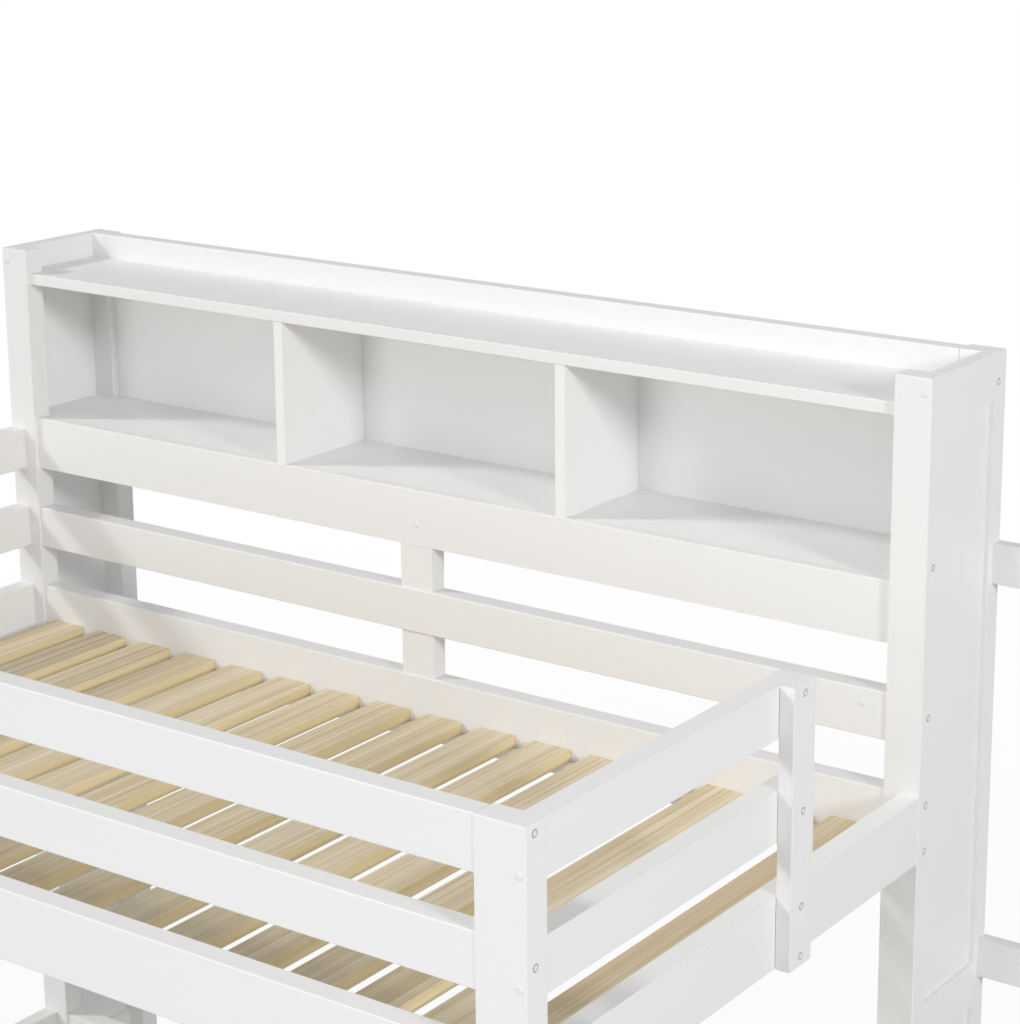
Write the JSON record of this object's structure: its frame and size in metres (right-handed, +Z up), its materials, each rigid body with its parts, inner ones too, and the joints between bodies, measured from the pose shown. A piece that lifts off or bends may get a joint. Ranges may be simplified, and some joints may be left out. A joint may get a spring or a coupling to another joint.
{
  "type": "loft bed",
  "caption": "Raised bed with guard rails, a deck of bare pine slats, an access opening at an end and a shallow bookcase along its back side.",
  "frame": {"origin": "on the floor, in the middle of the whole footprint", "axes": "+X along the bed towards the access end, +Y towards the bookcase, +Z up"},
  "size_m": [2.1502, 1.3004, 1.83],
  "materials": {
    "white_paint": "satin white paint",
    "white_board": "satin white board",
    "pine": "bare planed pine"
  },
  "bodies": {
    "root": {"apron": "white_paint", "back_guard_rail": "white_paint", "back_guard_stile": "white_paint", "back_ledger": "white_paint", "back_panel": "white_board", "back_side_rail": "white_paint", "back_stretcher": "white_paint", "bookcase_left_back_post": "white_paint", "bookcase_left_bottom_rail": "white_paint", "bookcase_left_front_post": "white_paint", "bookcase_left_lower_panel": "white_paint", "bookcase_left_middle_rail": "white_paint", "bookcase_left_top_rail": "white_paint", "bookcase_left_upper_panel": "white_paint", "bookcase_right_back_post": "white_paint", "bookcase_right_bottom_rail": "white_paint", "bookcase_right_front_post": "white_paint", "bookcase_right_lower_panel": "white_paint", "bookcase_right_middle_rail": "white_paint", "bookcase_right_top_rail": "white_paint", "bookcase_right_upper_panel": "white_paint", "bottom_shelf": "white_paint", "connector_lower": "white_paint", "connector_upper": "white_paint", "corner_post_left": "white_paint", "corner_post_right": "white_paint", "divider_left": "white_paint", "divider_right": "white_paint", "front_guard_middle_rail": "white_paint", "front_guard_top_rail": "white_paint", "front_ledger": "white_paint", "front_side_rail": "white_paint", "left_guard_middle_rail": "white_paint", "left_guard_top_rail": "white_paint", "left_side_rail": "white_paint", "left_stretcher": "white_paint", "right_guard_middle_rail": "white_paint", "right_guard_stile": "white_paint", "right_guard_top_rail": "white_paint", "right_side_rail": "white_paint", "right_stretcher": "white_paint", "slat_01": "pine", "slat_02": "pine", "slat_03": "pine", "slat_04": "pine", "slat_05": "pine", "slat_06": "pine", "slat_07": "pine", "slat_08": "pine", "slat_09": "pine", "slat_10": "pine", "slat_11": "pine", "slat_12": "pine", "slat_13": "pine", "slat_14": "pine", "slat_15": "pine", "slat_16": "pine", "top_shelf": "white_paint", "tray_rail": "white_paint"}
  },
  "joints": []
}
